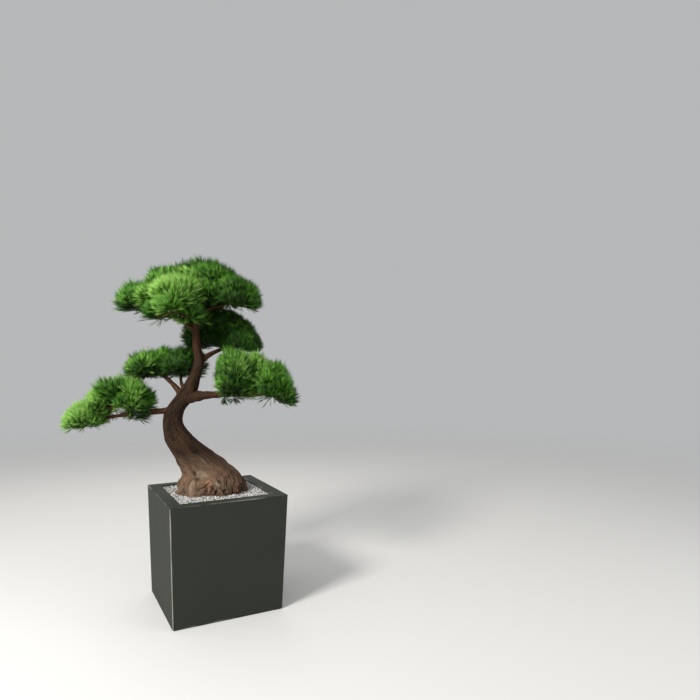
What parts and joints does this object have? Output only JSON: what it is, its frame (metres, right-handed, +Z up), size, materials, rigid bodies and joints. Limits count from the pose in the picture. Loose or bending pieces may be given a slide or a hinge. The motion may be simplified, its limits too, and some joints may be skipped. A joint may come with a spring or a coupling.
{
  "type": "potted pine bonsai",
  "caption": "Pine bonsai with a leaning S-shaped trunk and flat pads of long needles, in a tall square planter dressed with pale gravel.",
  "frame": {"origin": "centre of the planter's flat underside", "axes": "+Z up; the planter's sides stand square to X and Y, its front side faces -Y; the low bough reaches towards -X"},
  "size_m": [1.0559, 0.6462, 1.7205],
  "materials": {
    "planter_shell": "matte grey-green moulded fibreglass",
    "potting_filler": "loose bark potting mix",
    "gravel": "loose pale grey gravel",
    "bark": "ridged brown bark, tan and orange at the roots",
    "bough_bark": "thin flaky reddish-brown bark",
    "needles": "glossy mid-green needles"
  },
  "bodies": {
    "root": {"planter": "planter_shell", "filler": "potting_filler", "gravel_bed": "gravel", "trunk": "bark", "bough_low_left": "bough_bark", "bough_low_left_riser": "bough_bark", "bough_mid_left": "bough_bark", "bough_mid_left_fork": "bough_bark", "bough_right": "bough_bark", "bough_right_riser": "bough_bark", "bough_upper_right": "bough_bark", "bough_upper_back": "bough_bark", "bough_crown_left": "bough_bark", "bough_crown_front": "bough_bark", "bough_crown_right": "bough_bark", "bough_crown_back": "bough_bark", "bough_crown_top": "bough_bark", "needles_low_left_outer": "needles", "needles_low_left_inner": "needles", "needles_mid_left_outer": "needles", "needles_mid_left_inner": "needles", "needles_right_inner": "needles", "needles_right_outer": "needles", "needles_upper_right": "needles", "needles_upper_back": "needles", "needles_crown_left": "needles", "needles_crown_front": "needles", "needles_crown_right": "needles", "needles_crown_back": "needles", "needles_crown_top_left": "needles", "needles_crown_top_right": "needles"}
  },
  "joints": []
}
